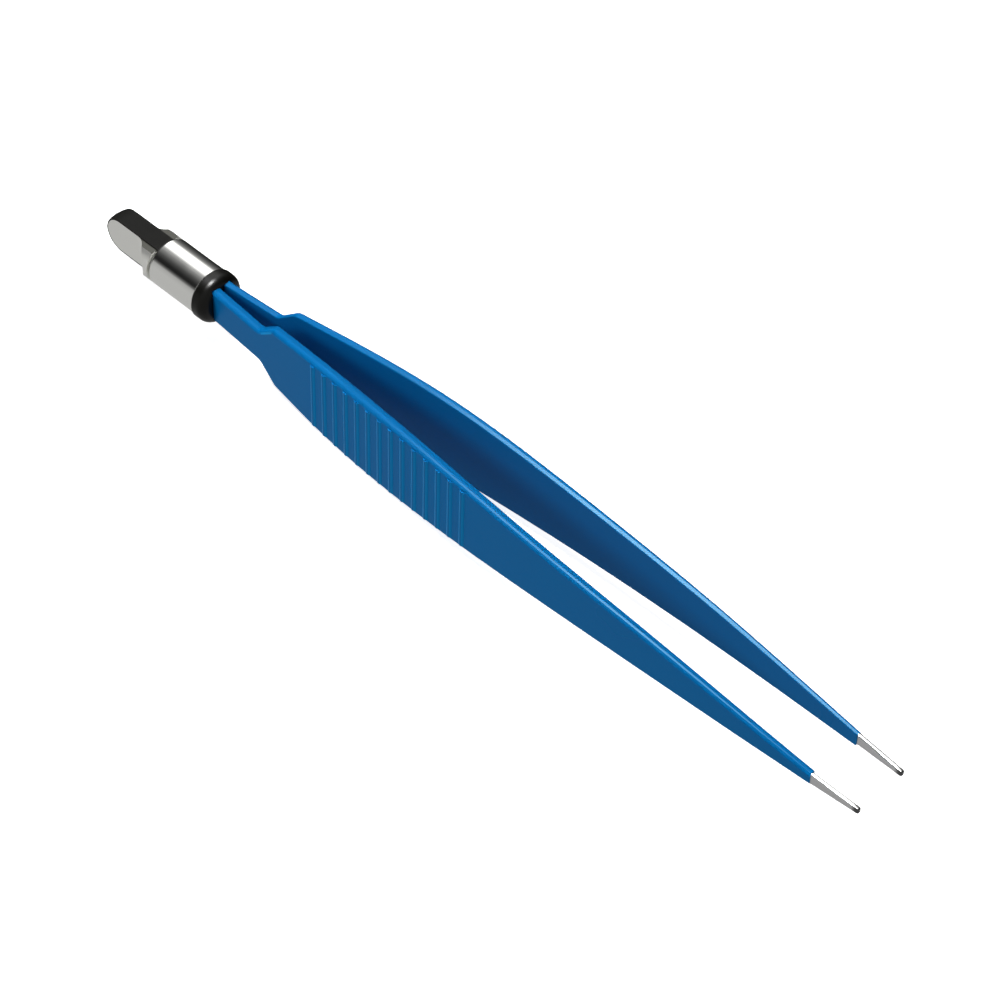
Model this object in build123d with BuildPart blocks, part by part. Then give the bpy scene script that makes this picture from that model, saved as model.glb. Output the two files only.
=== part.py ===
from build123d import *
import os

# Straight bipolar forceps with a flat two-pole plug, in millimetres.
# The origin is on the plug's axis in the plane of the barrel's front rim. +X points to the tips,
# the arms open along +Y (far arm) and -Y (near arm), and +Z is up across the width of the arms.

# Plug: barrel, tongue and contacts
barrel_d = 8.0
barrel_l = 10.0
barrel_wall = 0.55
barrel_rear_wall = 1.0
barrel_rear_bevel = 0.47
barrel_rear_ease = 0.17
barrel_rim_bevel = 0.12
tongue_l = 11.85
tongue_end_bulge = 0.4
tongue_h = 6.28
tongue_t = 3.3
contact_t = 0.8
contact_rim = 0.2
contact_ramp_l = 4.4
leg_t = 0.3
leg_h = 3.2
leg_lap = 3.1
web_t = 0.4

# Front collar
collar_d = 8.4
collar_l = 2.8
collar_round = 1.5
collar_rear_bevel = 0.2
spigot_l = 3.2

# Fits: slip fit of moulded parts, play round the coat at the mouth, air gap at a pole
slip = 0.05
mouth_play = 0.08
pole_gap = 0.15
tail_play = 0.4

# Arms, measured from the collar's mouth
coat_t = 0.15
coat_seat = 0.8
arm_l = 129.5
bare_l = 8.1
tail_l = 4.6
tail_h = 4.6
outer_bevel = 0.41
outer_bevel_ease = 0.15
inner_bevel = 0.1

# Plan of one arm: distance from the mouth, half the gap between the arms and the coated arm's thickness
mouth_gap, root_t = 0.4, 1.43
neck_x, neck_gap = 10.2, 1.22
grip_x, grip_gap, grip_t = 42.2, 3.74, 1.5
belly_x, belly_gap, belly_t = 82.2, 4.8, 1.32
tip_gap, slim_t = 4.08, 0.92

# Side view of one arm: neck, shoulder, crest of the grip and taper
neck_half_h = 3.15
neck_l = 10.6
shoulder_l = 3.4
shoulder_half_h = 5.9
shoulder_round = 1.6
brow_x, brow_top, brow_bottom = 19.5, 6.4, -6.6
crest_x, crest_top, crest_bottom = 44.0, 7.55, -6.7
taper_x, taper_top, taper_bottom = 68.0, 6.08, -4.85
slim_x, slim_top, slim_bottom = 94.0, 3.95, -3.08
end_top, end_bottom = 0.65, -1.7

# Bare tip
tip_h = 1.0
tip_t = 0.75
tip_drop = -0.55
tip_corner = 0.3
tip_round = 0.25

# Grip ribs
rib_count = 14
rib_first_x = 23.7
rib_pitch = 2.52
rib_r = 0.75
rib_rise = 0.25
rib_margin = 0.75

bore_r = barrel_d / 2 - barrel_wall
core_r = bore_r - slip
mouth_x = collar_l
coat_x = mouth_x - coat_seat
coat_end_x = mouth_x + arm_l - bare_l
tip_x = mouth_x + arm_l
side_reach = 3 * crest_top


def inner_points():
    """Inner face of the coated arm in plan."""
    stations = [(coat_x, mouth_gap), (mouth_x + neck_x, neck_gap), (mouth_x + grip_x, grip_gap)]
    stations += [(mouth_x + belly_x, belly_gap), (tip_x, tip_gap)]
    return stations


def outer_points():
    """Outer face of the coated arm in plan, thickest at the grip and slimmer to the tip."""
    thicknesses = [root_t, root_t, grip_t, belly_t, slim_t]
    return [(x, y + t) for (x, y), t in zip(inner_points(), thicknesses)]


def y_on(edge, x):
    """Y of a plan curve at a given X, found by halving."""
    low, high = 0.0, 1.0
    for _ in range(40):
        middle = (low + high) / 2
        if edge.position_at(middle).X < x:
            low = middle
        else:
            high = middle
    return edge.position_at(low).Y


def side_face(inset, end_x):
    """Side view of the coated arm, drawn in by inset, from the coat's seat to end_x."""
    neck = neck_half_h - inset
    shoulder = shoulder_half_h - inset
    step_x = mouth_x + neck_l
    brow = mouth_x + brow_x
    with BuildSketch(Plane.XZ) as face:
        with BuildLine():
            top = FilletPolyline(
                (coat_x, neck),
                (step_x, neck),
                (step_x + shoulder_l, shoulder),
                (brow, brow_top - inset),
                radius=shoulder_round,
            )
            crown = Spline(
                top @ 1,
                (mouth_x + crest_x, crest_top - inset),
                (mouth_x + taper_x, taper_top - inset),
                (mouth_x + slim_x, slim_top - inset),
                (end_x, end_top - inset),
                tangents=[top % 1, Vector(slim_x - arm_l + bare_l, slim_top - end_top) * -1],
            )
            bottom = FilletPolyline(
                (coat_x, -neck),
                (step_x, -neck),
                (step_x + shoulder_l, -shoulder),
                (brow, brow_bottom + inset),
                radius=shoulder_round,
            )
            keel = Spline(
                bottom @ 1,
                (mouth_x + crest_x, crest_bottom + inset),
                (mouth_x + taper_x, taper_bottom + inset),
                (mouth_x + slim_x, slim_bottom + inset),
                (end_x, end_bottom + inset),
                tangents=[bottom % 1, Vector(arm_l - bare_l - slim_x, end_bottom - slim_bottom)],
            )
            Line(crown @ 1, keel @ 1)
            Line(top @ 0, bottom @ 0)
        make_face()
    return face.sketch


def arm_blank(inset):
    """The far arm's bowed strip, drawn in by inset on all four faces, up to the coat's end."""
    with BuildPart() as blank:
        with BuildSketch(Plane.XY):
            with BuildLine():
                inner = Spline(*[(x, y + inset) for x, y in inner_points()])
                outer = Spline(*[(x, y - inset) for x, y in outer_points()])
                Line(inner @ 0, outer @ 0)
                Line(inner @ 1, outer @ 1)
            make_face()
        extrude(amount=side_reach, both=True)
        side = side_face(inset, coat_end_x)
        extrude(side, amount=side_reach, dir=(0, 1, 0), both=True, mode=Mode.INTERSECT)
    return blank.part


def long_edges(part):
    """Edges that run along the strip: those of its inner face, then those of its outer side."""
    middle = Spline(*[(x, y + slim_t / 2) for x, y in inner_points()], mode=Mode.PRIVATE)
    along = part.edges().filter_by(lambda edge: abs(edge.tangent_at(0.5).X) > 0.5)
    inner = along.filter_by(lambda edge: edge.center().Y < y_on(middle, edge.center().X))
    outer = along.filter_by(lambda edge: edge.center().Y > y_on(middle, edge.center().X))
    return inner, outer


def grip_ribs():
    """Half-round cross ribs along the outer face of the far arm's grip, clear of its long edges."""
    outer = Spline(*outer_points(), mode=Mode.PRIVATE)
    seats = []
    for number in range(rib_count):
        x = mouth_x + rib_first_x + number * rib_pitch
        seats.append((x, y_on(outer, x) - rib_r + rib_rise))
    with BuildPart() as ribs:
        with Locations(*seats):
            Cylinder(rib_r, side_reach)
        side = side_face(rib_margin, coat_end_x)
        extrude(side, amount=side_reach, dir=(0, 1, 0), both=True, mode=Mode.INTERSECT)
    return ribs.part


# Far arm: one strip of spring steel from the tail in the collar to the bare tip
tail_y = mouth_gap + coat_t
tail_t = root_t - 2 * coat_t
plan_inner = Spline(*inner_points(), mode=Mode.PRIVATE)
plan_outer = Spline(*outer_points(), mode=Mode.PRIVATE)
end_inner_y = y_on(plan_inner, coat_end_x) + coat_t
end_outer_y = y_on(plan_outer, coat_end_x) - coat_t
end_middle_z = (end_top + end_bottom) / 2
end_steel_h = end_top - end_bottom - 2 * coat_t
with BuildPart() as far_arm:
    add(arm_blank(coat_t))
    chamfer(long_edges(far_arm)[1], outer_bevel)
    with BuildSketch(Plane.YZ.offset(coat_x - tail_l)):
        with Locations((tail_y + tail_t / 2, 0)):
            Rectangle(tail_t, tail_h)
    extrude(amount=tail_l)
    with BuildSketch(Plane.YZ.offset(coat_end_x)):
        with Locations(((end_inner_y + end_outer_y) / 2, end_middle_z)):
            RectangleRounded(end_outer_y - end_inner_y, end_steel_h, tip_corner)
    with BuildSketch(Plane.YZ.offset(tip_x)):
        with Locations((tip_gap + tip_t / 2, tip_drop)):
            RectangleRounded(tip_t, tip_h, tip_corner)
    loft()
    fillet(far_arm.faces().sort_by(Axis.X)[-1].edges(), tip_round)
far_arm.part.label = "far_arm"

# Far coat: one skin over the strip, rounded off along its outer edges, with the ribs moulded on
with BuildPart() as far_coat:
    add(arm_blank(0))
    inner_edges, outer_edges = long_edges(far_coat)
    chamfer(outer_edges, outer_bevel)
    chamfer(long_edges(far_coat)[1], outer_bevel_ease)
    chamfer(long_edges(far_coat)[0], inner_bevel)
    add(grip_ribs())
    add(far_arm.part, mode=Mode.SUBTRACT)
far_coat.part.label = "far_coat"

with BuildPart() as near_arm:
    mirror(far_arm.part, about=Plane.XZ)
near_arm.part.label = "near_arm"

with BuildPart() as near_coat:
    mirror(far_coat.part, about=Plane.XZ)
near_coat.part.label = "near_coat"

# Plug barrel: turned sleeve with a window in its rear wall for the tongue
with BuildPart() as plug_barrel:
    with BuildSketch(Plane.YZ.offset(-barrel_l)):
        Circle(barrel_d / 2)
    extrude(amount=barrel_l)
    chamfer(plug_barrel.edges().group_by(Axis.X)[0], barrel_rear_bevel)
    chamfer(plug_barrel.edges().filter_by(GeomType.CIRCLE).sort_by(Axis.X)[:2], barrel_rear_ease)
    with BuildSketch(Plane.YZ):
        Circle(bore_r)
    extrude(amount=barrel_rear_wall - barrel_l, mode=Mode.SUBTRACT)
    with BuildSketch(Plane.YZ.offset(-barrel_l)):
        Rectangle(tongue_t + 2 * slip, tongue_h + 2 * slip)
    extrude(amount=barrel_rear_wall, mode=Mode.SUBTRACT)
    rim = plug_barrel.edges().filter_by(GeomType.CIRCLE).group_by(Axis.X)[-1].sort_by(SortBy.RADIUS)[-1]
    chamfer(rim, barrel_rim_bevel)
plug_barrel.part.label = "plug_barrel"

# Far contact: inlaid strip with a ramped root at the barrel and a leg that laps the arm's tail
tongue_end_x = -barrel_l - tongue_l
contact_y = tongue_t / 2 - contact_t
contact_half_h = tongue_h / 2 - contact_rim
contact_front_x = -barrel_l - pole_gap
leg_y = web_t / 2
leg_end_x = coat_x - tail_l + leg_lap
ramp_x = contact_front_x - contact_ramp_l
with BuildPart() as far_contact:
    with BuildSketch(Plane.XZ):
        with Locations((tongue_end_x + tongue_h / 2, 0)):
            Circle(contact_half_h)
            Rectangle(
                contact_front_x - tongue_end_x - tongue_h / 2,
                2 * contact_half_h,
                align=(Align.MIN, Align.CENTER),
            )
    extrude(amount=barrel_d / 2, both=True)
    with BuildSketch(Plane.XY):
        with BuildLine():
            ramp = Spline(
                (ramp_x, tongue_t / 2),
                (contact_front_x, barrel_d / 2),
                tangents=[(1, 0), (1, 0)],
            )
            Polyline(
                ramp @ 1,
                (contact_front_x, contact_y),
                (tongue_end_x, contact_y),
                (tongue_end_x, tongue_t / 2),
                ramp @ 0,
            )
        make_face()
    extrude(amount=barrel_d / 2, both=True, mode=Mode.INTERSECT)
    with BuildSketch(Plane.YZ.offset(tongue_end_x)):
        Circle(barrel_d / 2)
    extrude(amount=tongue_l, mode=Mode.INTERSECT)
    with BuildSketch(Plane.YZ.offset(contact_front_x - contact_t)):
        with Locations(((leg_y + tongue_t / 2 - contact_t / 2) / 2, 0)):
            Rectangle(tongue_t / 2 - contact_t / 2 - leg_y, leg_h)
    extrude(amount=contact_t)
    with BuildSketch(Plane.YZ.offset(contact_front_x - contact_t)):
        with Locations((leg_y + leg_t / 2, 0)):
            Rectangle(leg_t, leg_h)
    extrude(amount=leg_end_x - contact_front_x + contact_t)
far_contact.part.label = "far_contact"

with BuildPart() as near_contact:
    mirror(far_contact.part, about=Plane.XZ)
near_contact.part.label = "near_contact"

# Plug core: black moulded body with the round-ended tongue, slotted for both contacts
with BuildPart() as plug_core:
    with BuildSketch(Plane.XZ):
        with Locations((tongue_end_x + tongue_h / 2, 0)):
            Circle(tongue_h / 2)
            Rectangle(
                tongue_l + barrel_rear_wall - tongue_h / 2,
                tongue_h,
                align=(Align.MIN, Align.CENTER),
            )
    extrude(amount=tongue_t / 2, both=True)
    for share in [-1, -0.6, 0, 0.6, 1]:
        bulge = tongue_end_bulge * (1 - share**2)
        with BuildSketch(Plane.XZ.offset(share * tongue_t / 2)):
            with BuildLine():
                end_centre = (tongue_end_x + tongue_h / 2, 0)
                end_arc = EllipticalCenterArc(end_centre, tongue_h / 2 + bulge, tongue_h / 2, 90, arc_size=180)
                Line(end_arc @ 0, end_arc @ 1)
            make_face()
    loft(ruled=True)
    with BuildSketch(Plane.YZ.offset(-spigot_l)):
        Circle(core_r)
    extrude(amount=spigot_l + barrel_rear_wall - barrel_l)
    add(far_contact.part, mode=Mode.SUBTRACT)
    add(near_contact.part, mode=Mode.SUBTRACT)
plug_core.part.label = "plug_core"

# Front collar: moulded ring with a spigot in the barrel and a stepped pocket for each arm
coat_pocket_t = root_t + 2 * mouth_play
tail_pocket_y = leg_y - slip
tail_pocket_t = tail_y + tail_t + tail_play - tail_pocket_y
tail_pocket_h = tail_h + 4 * slip
with BuildPart() as front_collar:
    with BuildSketch(Plane.YZ):
        Circle(collar_d / 2)
    extrude(amount=collar_l)
    fillet(front_collar.edges().group_by(Axis.X)[-1], collar_round)
    chamfer(front_collar.edges().group_by(Axis.X)[0], collar_rear_bevel)
    with BuildSketch(Plane.YZ):
        Circle(core_r)
    extrude(amount=-spigot_l)
    with BuildSketch(Plane.YZ.offset(mouth_x)):
        with Locations((mouth_gap + root_t / 2, 0), (-mouth_gap - root_t / 2, 0)):
            Rectangle(coat_pocket_t, 2 * (neck_half_h + mouth_play))
    extrude(amount=-coat_seat - mouth_play, mode=Mode.SUBTRACT)
    with BuildSketch(Plane.YZ.offset(mouth_x)):
        pocket_middle = tail_pocket_y + tail_pocket_t / 2
        with Locations((pocket_middle, 0), (-pocket_middle, 0)):
            Rectangle(tail_pocket_t, tail_pocket_h)
    extrude(amount=-mouth_x - spigot_l, mode=Mode.SUBTRACT)
front_collar.part.label = "front_collar"

os.makedirs("parts", exist_ok=True)
pieces = [far_arm, near_arm, far_coat, near_coat, plug_barrel]
pieces += [far_contact, near_contact, plug_core, front_collar]
for piece in pieces:
    export_step(piece.part, f"parts/{piece.part.label}.step")
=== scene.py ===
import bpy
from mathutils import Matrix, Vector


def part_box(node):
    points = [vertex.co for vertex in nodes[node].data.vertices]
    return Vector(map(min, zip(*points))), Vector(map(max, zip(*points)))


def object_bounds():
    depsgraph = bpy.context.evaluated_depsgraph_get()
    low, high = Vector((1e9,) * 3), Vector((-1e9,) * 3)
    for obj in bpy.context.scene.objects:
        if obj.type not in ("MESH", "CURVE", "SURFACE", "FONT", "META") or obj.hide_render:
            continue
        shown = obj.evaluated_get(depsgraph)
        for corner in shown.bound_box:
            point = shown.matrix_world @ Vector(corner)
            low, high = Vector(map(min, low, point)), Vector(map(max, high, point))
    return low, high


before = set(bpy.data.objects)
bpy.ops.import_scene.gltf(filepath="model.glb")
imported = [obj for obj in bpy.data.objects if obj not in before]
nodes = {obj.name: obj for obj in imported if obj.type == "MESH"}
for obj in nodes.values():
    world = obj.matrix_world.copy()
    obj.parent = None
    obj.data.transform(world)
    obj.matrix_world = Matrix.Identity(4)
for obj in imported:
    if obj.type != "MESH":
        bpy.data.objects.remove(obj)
cad_box = [list(corner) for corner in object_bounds()]

import bmesh
import bpy
from mathutils import Matrix, Vector

# Camera: the photograph's view, from above the tips on the near side, with a long lens.
# Its place and turn come from matching the plug's ellipses and both arms' outlines.
lens_mm = 122.73
sensor_mm = 36.0
nearest_seen, furthest_seen = 0.01, 10.0
camera_place = Vector((0.28555, -0.23894, 0.35826))
camera_right = Vector((0.712368, 0.701473, 0.021642))
camera_up = Vector((-0.527244, 0.514571, 0.676188))
camera_back = Vector((0.463191, -0.493105, 0.736411))

camera_data = bpy.data.cameras.new("camera")
camera_data.lens = lens_mm
camera_data.sensor_fit = "HORIZONTAL"
camera_data.sensor_width = sensor_mm
camera_data.clip_start = nearest_seen
camera_data.clip_end = furthest_seen
camera = bpy.data.objects.new("camera", camera_data)
bpy.context.scene.collection.objects.link(camera)
camera_turn = Matrix((camera_right, camera_up, camera_back)).transposed()
camera.matrix_world = Matrix.Translation(camera_place) @ camera_turn.to_4x4()
bpy.context.scene.camera = camera

# Light: a big soft box up behind the forceps, seen in the turned metal as its white band, with a
# dark ring round it and a pale grey room on the camera's side. Two lamps overhead, one of them
# seen only as a glint on the coats' edges, and one low in front that only fills the shade.
room_axis = Vector((-0.46, 0.50, 0.73)).normalized()
room_stops = [  # cosine of the angle from the soft box's axis, and the grey there
    (-1.00, 0.48),
    (-0.20, 0.50),
    (0.02, 0.42),
    (0.12, 0.12),
    (0.24, 0.010),
    (0.40, 0.014),
    (0.60, 0.050),
    (0.80, 0.13),
    (0.90, 0.32),
    (0.955, 1.3),
    (0.985, 2.2),
    (1.00, 2.4),
]
room_warmth = 0.985
room_seen_level = 1.0
room_shade_level = 0.6
lamp_aim = Vector((0.06, 0.0, 0.0))
overhead_place = Vector((-0.22, -0.07, 0.97))
overhead_size = (0.28, 0.28)
overhead_watts = 7.0
glint_watts = 42.0
front_place = Vector((-0.45, -0.72, 0.45))
front_size = (0.4, 0.3)
front_watts = 1.9

bpy.context.scene.view_settings.view_transform = "Standard"
world = bpy.data.worlds.new("studio_room")
world.use_nodes = True
bpy.context.scene.world = world
room = world.node_tree
room.nodes.clear()
room_out = room.nodes.new("ShaderNodeOutputWorld")
room_light = room.nodes.new("ShaderNodeBackground")
room_direction = room.nodes.new("ShaderNodeTexCoord")
room_angle = room.nodes.new("ShaderNodeVectorMath")
room_angle.operation = "DOT_PRODUCT"
room_angle.inputs[1].default_value = room_axis
room_span = room.nodes.new("ShaderNodeMapRange")
room_span.inputs["From Min"].default_value = -1.0
room_ramp = room.nodes.new("ShaderNodeValToRGB")
room_rays = room.nodes.new("ShaderNodeLightPath")
room_level = room.nodes.new("ShaderNodeMapRange")
room_level.inputs["To Min"].default_value = room_seen_level
room_level.inputs["To Max"].default_value = room_shade_level
room.links.new(room_direction.outputs["Generated"], room_angle.inputs[0])
room.links.new(room_angle.outputs["Value"], room_span.inputs["Value"])
room.links.new(room_span.outputs["Result"], room_ramp.inputs["Fac"])
room.links.new(room_ramp.outputs["Color"], room_light.inputs["Color"])
room.links.new(room_rays.outputs["Is Diffuse Ray"], room_level.inputs["Value"])
room.links.new(room_level.outputs["Result"], room_light.inputs["Strength"])
room.links.new(room_light.outputs["Background"], room_out.inputs["Surface"])
ramp = room_ramp.color_ramp
while len(ramp.elements) < len(room_stops):
    ramp.elements.new(0.5)
for element, (cosine, grey) in zip(ramp.elements, room_stops):
    element.position = (cosine + 1.0) / 2.0
    element.color = (grey, grey, grey * room_warmth, 1.0)


def add_soft_box(name, place, size, watts):
    """A rectangular soft light that shines at the middle of the forceps."""
    light = bpy.data.lights.new(name, "AREA")
    light.shape = "RECTANGLE"
    light.size, light.size_y = size
    light.energy = watts
    holder = bpy.data.objects.new(name, light)
    bpy.context.scene.collection.objects.link(holder)
    holder.location = lamp_aim + place
    holder.rotation_euler = (-place).to_track_quat("-Z", "Y").to_euler()
    return holder


add_soft_box("overhead_box", overhead_place, overhead_size, overhead_watts)
glint_box = add_soft_box("glint_box", overhead_place, overhead_size, glint_watts)
glint_box.visible_diffuse = False
front_box = add_soft_box("front_box", front_place, front_size, front_watts)
front_box.visible_glossy = False

# Floor: a wide pale table top under the forceps, which lie on the lower edges of their arms.
# It glows a little, as the photograph's white ground does, and throws nothing back at the part.
floor_reach = 3.0
floor_z = cad_box[0][2]
floor_corners = [(-1, -1), (1, -1), (1, 1), (-1, 1)]
floor_finish = {
    "Base Color": (0.93, 0.93, 0.93, 1.0),
    "Roughness": 0.9,
    "Specular IOR Level": 0.1,
    "Emission Color": (1.0, 1.0, 1.0, 1.0),
    "Emission Strength": 0.8,
}


def new_material(name, finish):
    """A node material, its tree and its surface, with the values that are the same all over."""
    material = bpy.data.materials.new(name)
    material.use_nodes = True
    tree = material.node_tree
    surface = tree.nodes["Principled BSDF"]
    for socket, value in finish.items():
        surface.inputs[socket].default_value = value
    return material, tree, surface


floor_mesh = bmesh.new()
floor_mesh.faces.new(
    [floor_mesh.verts.new((x * floor_reach, y * floor_reach, floor_z)) for x, y in floor_corners]
)
floor_data = bpy.data.meshes.new("floor")
floor_mesh.to_mesh(floor_data)
floor_mesh.free()
floor = bpy.data.objects.new("floor", floor_data)
bpy.context.scene.collection.objects.link(floor)
pale_table, _, _ = new_material("pale_table", floor_finish)
floor.data.materials.append(pale_table)
floor.visible_diffuse = False
floor.visible_glossy = False

# Coats: a glossy blue nylon-like skin sintered from powder over each steel arm, which leaves a
# faint orange peel. Its upright faces that turn along the arm, the ribs' flanks, carry a painted
# highlight in a paler blue. It draws back from the inner long edges into a soft lean, about as
# wide as the outer bevel.
mm = 0.001
coat_blue = (0.0010, 0.190, 0.54, 1.0)
coat_deep_blue = (0.0008, 0.172, 0.50, 1.0)
# painted highlight: the paler blue for upright faces that turn along the arm, the ribs' flanks
coat_rib_highlight_blue = (0.0080, 0.320, 0.76, 1.0)
coat_finish = {"Specular IOR Level": 0.06, "Specular Tint": (0.45, 0.85, 1.0, 1.0)}
coat_roughness = (0.27, 0.35)
coat_peel = {"Grain Scale": 900.0, "Cloud Scale": 55.0, "Depth": 0.12, "Height": 0.02 * mm}
cloud_span = (0.3, 0.7)
rib_highlight_span = (0.10, 0.35)  # how far a flank faces along the arm, from none to fully paler
rib_upright = 0.3  # a rib's flank faces up or down by less than this, an arm's edge by more
# The inner face's plan: half the gap in mm over X in hundreds of mm, highest power first.
inner_plan = (23.0024, -103.4033, 175.5688, -131.5038, 31.7391, 2.3360, 6.7309, 0.2658)
hundred_mm = 100.0 * mm
edge_lean_mm = 0.65
edge_lean_slope = 0.36


def set_material(material, *pieces):
    """Gives each piece this one material in all its slots."""
    for piece in pieces:
        piece.data.materials.clear()
        piece.data.materials.append(material)


def number(tree, operation, *values):
    """A Math node on numbers or other nodes' outputs; gives its own output."""
    node = tree.nodes.new("ShaderNodeMath")
    node.operation = operation
    for socket, value in zip(node.inputs, values):
        if isinstance(value, (int, float)):
            socket.default_value = value
        else:
            tree.links.new(value, socket)
    return node.outputs["Value"]


def axes(tree, what):
    """X, Y and Z of a point of the piece ("Object") or of where it faces ("Normal")."""
    coordinates = tree.nodes.new("ShaderNodeTexCoord")
    split = tree.nodes.new("ShaderNodeSeparateXYZ")
    tree.links.new(coordinates.outputs[what], split.inputs["Vector"])
    return split.outputs


def remap(tree, source, span, to=(0.0, 1.0), shape="LINEAR"):
    """The source's span, stretched over another one and held at its ends."""
    node = tree.nodes.new("ShaderNodeMapRange")
    node.interpolation_type = shape
    node.inputs["From Min"].default_value, node.inputs["From Max"].default_value = span
    node.inputs["To Min"].default_value, node.inputs["To Max"].default_value = to
    tree.links.new(source, node.inputs["Value"])
    return node.outputs["Result"]


def blend(tree, mask, first, second):
    """Two colours, or nodes' colour outputs, blended by a mask."""
    node = tree.nodes.new("ShaderNodeMix")
    node.data_type = "RGBA"
    colour_sockets = [socket for socket in node.inputs if socket.type == "RGBA"]
    for socket, colour in zip(colour_sockets, (first, second)):
        if isinstance(colour, tuple):
            socket.default_value = colour
        else:
            tree.links.new(colour, socket)
    tree.links.new(mask, node.inputs["Factor"])
    return next(socket for socket in node.outputs if socket.type == "RGBA")


def make_moulded_grain():
    """Shader node group: a cloudy mask and a bumped normal from noise on Object coordinates."""
    group = bpy.data.node_groups.new("moulded_grain", "ShaderNodeTree")
    sockets = group.interface
    sockets.new_socket("Vector", in_out="INPUT", socket_type="NodeSocketVector")
    for name, value in coat_peel.items():
        socket = sockets.new_socket(name, in_out="INPUT", socket_type="NodeSocketFloat")
        socket.default_value = value
    sockets.new_socket("Cloud", in_out="OUTPUT", socket_type="NodeSocketFloat")
    sockets.new_socket("Normal", in_out="OUTPUT", socket_type="NodeSocketVector")
    start = group.nodes.new("NodeGroupInput")
    end = group.nodes.new("NodeGroupOutput")
    grain = group.nodes.new("ShaderNodeTexNoise")
    grain.inputs["Detail"].default_value = 3.0
    cloud = group.nodes.new("ShaderNodeTexNoise")
    cloud.inputs["Detail"].default_value = 2.0
    bump = group.nodes.new("ShaderNodeBump")
    link = group.links.new
    link(start.outputs["Vector"], grain.inputs["Vector"])
    link(start.outputs["Vector"], cloud.inputs["Vector"])
    link(start.outputs["Grain Scale"], grain.inputs["Scale"])
    link(start.outputs["Cloud Scale"], cloud.inputs["Scale"])
    link(grain.outputs["Fac"], bump.inputs["Height"])
    link(start.outputs["Depth"], bump.inputs["Strength"])
    link(start.outputs["Height"], bump.inputs["Distance"])
    link(cloud.outputs["Fac"], end.inputs["Cloud"])
    link(bump.outputs["Normal"], end.inputs["Normal"])
    return group


moulded_grain = make_moulded_grain()


def add_grain(tree, surface, grain, roughness, lay=None):
    """Puts the grain group in a material: it bumps the surface and clouds its roughness, and its
    node is returned. lay scales the pattern along X, Y and Z, where it has a direction."""
    coordinates = tree.nodes.new("ShaderNodeTexCoord").outputs["Object"]
    if lay:
        stretch = tree.nodes.new("ShaderNodeMapping")
        stretch.inputs["Scale"].default_value = lay
        tree.links.new(coordinates, stretch.inputs["Vector"])
        coordinates = stretch.outputs["Vector"]
    node = tree.nodes.new("ShaderNodeGroup")
    node.node_tree = moulded_grain
    for socket, value in grain.items():
        node.inputs[socket].default_value = value
    tree.links.new(coordinates, node.inputs["Vector"])
    tree.links.new(node.outputs["Normal"], surface.inputs["Normal"])
    clouded = remap(tree, node.outputs["Cloud"], cloud_span, roughness)
    tree.links.new(clouded, surface.inputs["Roughness"])
    return node


coat, coat_tree, coat_surface = new_material("blue_coat", coat_finish)
coat_grain = add_grain(coat_tree, coat_surface, coat_peel, coat_roughness)

coat_point = axes(coat_tree, "Object")
along = number(coat_tree, "DIVIDE", coat_point["X"], hundred_mm)
half_gap = inner_plan[0]
for term in inner_plan[1:]:
    half_gap = number(coat_tree, "MULTIPLY_ADD", half_gap, along, term)
side = number(coat_tree, "DIVIDE", number(coat_tree, "ABSOLUTE", coat_point["Y"]), mm)
depth = number(coat_tree, "SUBTRACT", side, half_gap)
lean = number(coat_tree, "MAXIMUM", number(coat_tree, "SUBTRACT", edge_lean_mm, depth), 0.0)
lean_height = number(coat_tree, "MULTIPLY", lean, -edge_lean_slope)
coat_lean = coat_tree.nodes.new("ShaderNodeBump")
coat_lean.inputs["Distance"].default_value = mm
coat_tree.links.new(lean_height, coat_lean.inputs["Height"])
coat_tree.links.new(coat_grain.outputs["Normal"], coat_lean.inputs["Normal"])
coat_tree.links.new(coat_lean.outputs["Normal"], coat_surface.inputs["Normal"])

# Painted highlight: upright faces that turn along the arm, the ribs' flanks, get the paler blue.
coat_facing = axes(coat_tree, "Normal")
facing_along = number(coat_tree, "ABSOLUTE", coat_facing["X"])
rib_highlight_turn = remap(coat_tree, facing_along, rib_highlight_span, shape="SMOOTHSTEP")
facing_up = number(coat_tree, "ABSOLUTE", coat_facing["Z"])
upright = number(coat_tree, "LESS_THAN", facing_up, rib_upright)
rib_highlight_mask = number(coat_tree, "MULTIPLY", rib_highlight_turn, upright)
clouded_blue = blend(coat_tree, coat_grain.outputs["Cloud"], coat_deep_blue, coat_blue)
coat_colour = blend(coat_tree, rib_highlight_mask, clouded_blue, coat_rib_highlight_blue)
coat_tree.links.new(coat_colour, coat_surface.inputs["Base Color"])
set_material(coat, nodes["near_coat"], nodes["far_coat"])

# Arms: one spring steel strip each, from the tail in the plug to the bare tip where the current
# leaves it. The tips are finely ground along their length, and their very ends are painted dark
# grey.
steel_bright = (0.60, 0.60, 0.61, 1.0)
steel_dark_end = (0.10, 0.10, 0.10, 1.0)
steel_finish = {"Metallic": 1.0}
steel_roughness = (0.22, 0.36)
steel_grind = {"Grain Scale": 2500.0, "Cloud Scale": 200.0, "Depth": 0.06, "Height": 0.01 * mm}
steel_grind_lay = (0.06, 1.0, 1.0)
tip_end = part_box("near_arm")[1][0]
dark_end_span = (tip_end - 1.3 * mm, tip_end - 0.5 * mm)

steel, steel_tree, steel_surface = new_material("arm_steel", steel_finish)
add_grain(steel_tree, steel_surface, steel_grind, steel_roughness, steel_grind_lay)
# the last 1.3 mm of each tip fades to a dark grey, fully dark over its last 0.5 mm
dark_end_mask = remap(steel_tree, axes(steel_tree, "Object")["X"], dark_end_span, shape="SMOOTHSTEP")
steel_colour = blend(steel_tree, dark_end_mask, steel_bright, steel_dark_end)
steel_tree.links.new(steel_colour, steel_surface.inputs["Base Color"])
set_material(steel, nodes["near_arm"], nodes["far_arm"])

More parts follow.
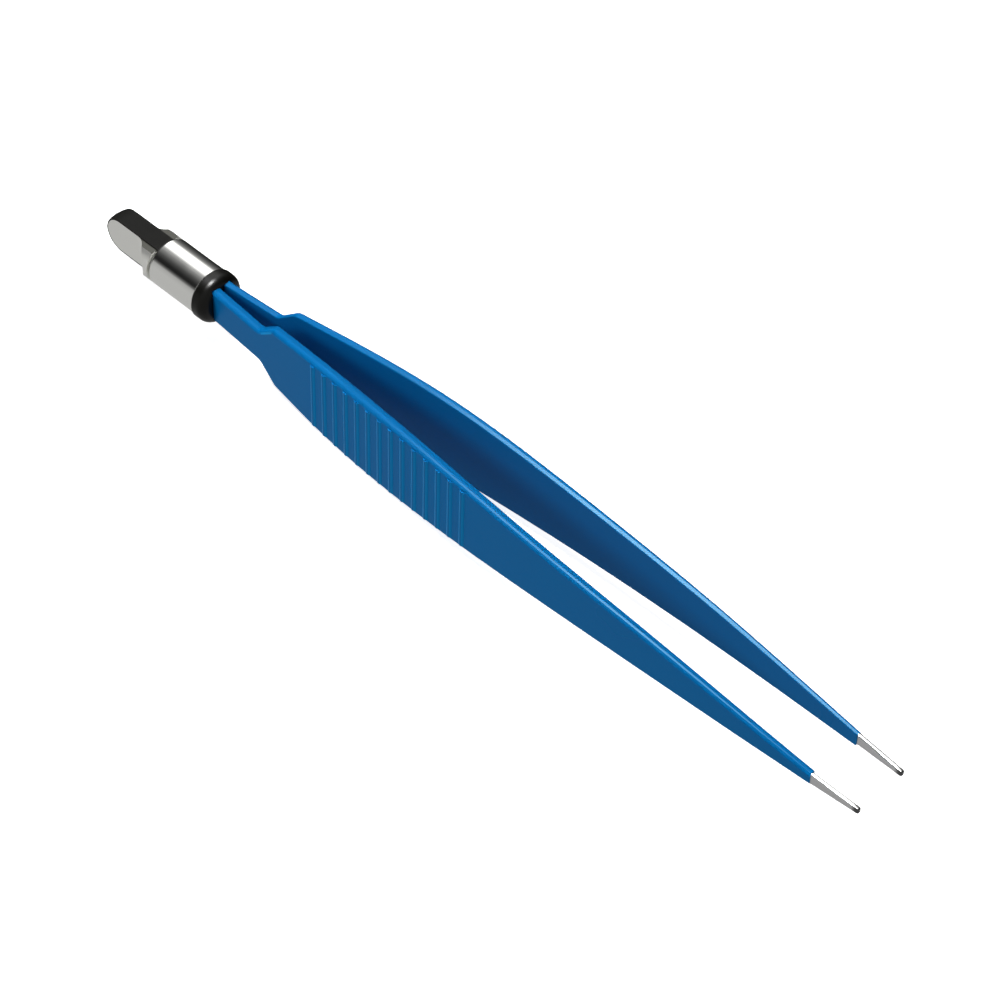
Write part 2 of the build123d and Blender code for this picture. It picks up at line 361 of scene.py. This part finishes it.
# Plug barrel: a turned metal sleeve, polished all over, that holds the plug's core. Only a very
# fine grain is left by the polishing.
barrel_finish = {"Metallic": 1.0, "Base Color": (0.88, 0.88, 0.86, 1.0)}
barrel_roughness = (0.10, 0.14)
barrel_polish = {"Grain Scale": 1500.0, "Cloud Scale": 150.0, "Depth": 0.04, "Height": 0.01 * mm}

barrel, barrel_tree, barrel_surface = new_material("barrel_metal", barrel_finish)
add_grain(barrel_tree, barrel_surface, barrel_polish, barrel_roughness)
set_material(barrel, nodes["plug_barrel"])

# Contacts: plated metal strips inlaid flush in the tongue's two faces, with a ramp up to the
# barrel. The socket's springs keep their faces satin bright; their cut edges and every other
# face that faces up or down are painted nearly black.
contact_face = (0.88, 0.88, 0.85, 1.0)
contact_flank = (0.05, 0.05, 0.045, 1.0)
contact_finish = {"Metallic": 1.0}
contact_roughness = (0.26, 0.36)
contact_wear = {"Grain Scale": 1800.0, "Cloud Scale": 220.0, "Depth": 0.08, "Height": 0.01 * mm}
contact_edge_turn = 0.9  # a cut edge faces up or down by more than this

contact, contact_tree, contact_surface = new_material("contact_metal", contact_finish)
add_grain(contact_tree, contact_surface, contact_wear, contact_roughness)
facing_up = number(contact_tree, "ABSOLUTE", axes(contact_tree, "Normal")["Z"])
# faces that face up or down, the cut edges among them, are painted nearly black
on_edge = number(contact_tree, "GREATER_THAN", facing_up, contact_edge_turn)
contact_colour = blend(contact_tree, on_edge, contact_face, contact_flank)
contact_tree.links.new(contact_colour, contact_surface.inputs["Base Color"])
set_material(contact, nodes["near_contact"], nodes["far_contact"])

# Front collar: a glossy black plastic ring moulded round the arms' roots, against the barrel's
# front rim.
collar_finish = {"Base Color": (0.003, 0.003, 0.002, 1.0), "Specular IOR Level": 0.20}
collar_roughness = (0.24, 0.34)
collar_gloss = {"Grain Scale": 1200.0, "Cloud Scale": 180.0, "Depth": 0.06, "Height": 0.01 * mm}

collar, collar_tree, collar_surface = new_material("collar_black", collar_finish)
add_grain(collar_tree, collar_surface, collar_gloss, collar_roughness)
set_material(collar, nodes["front_collar"])

# Plug core: the insulating body inside the barrel and, behind it, the flat tongue between the
# contacts. It is a matt black moulding, seen as the tongue's edge all the way round.
core_finish = {"Base Color": (0.010, 0.010, 0.009, 1.0), "Specular IOR Level": 0.04}
core_roughness = (0.55, 0.70)
core_grain = {"Grain Scale": 1600.0, "Cloud Scale": 260.0, "Depth": 0.2, "Height": 0.02 * mm}

core, core_tree, core_surface = new_material("core_black", core_finish)
add_grain(core_tree, core_surface, core_grain, core_roughness)
set_material(core, nodes["plug_core"])
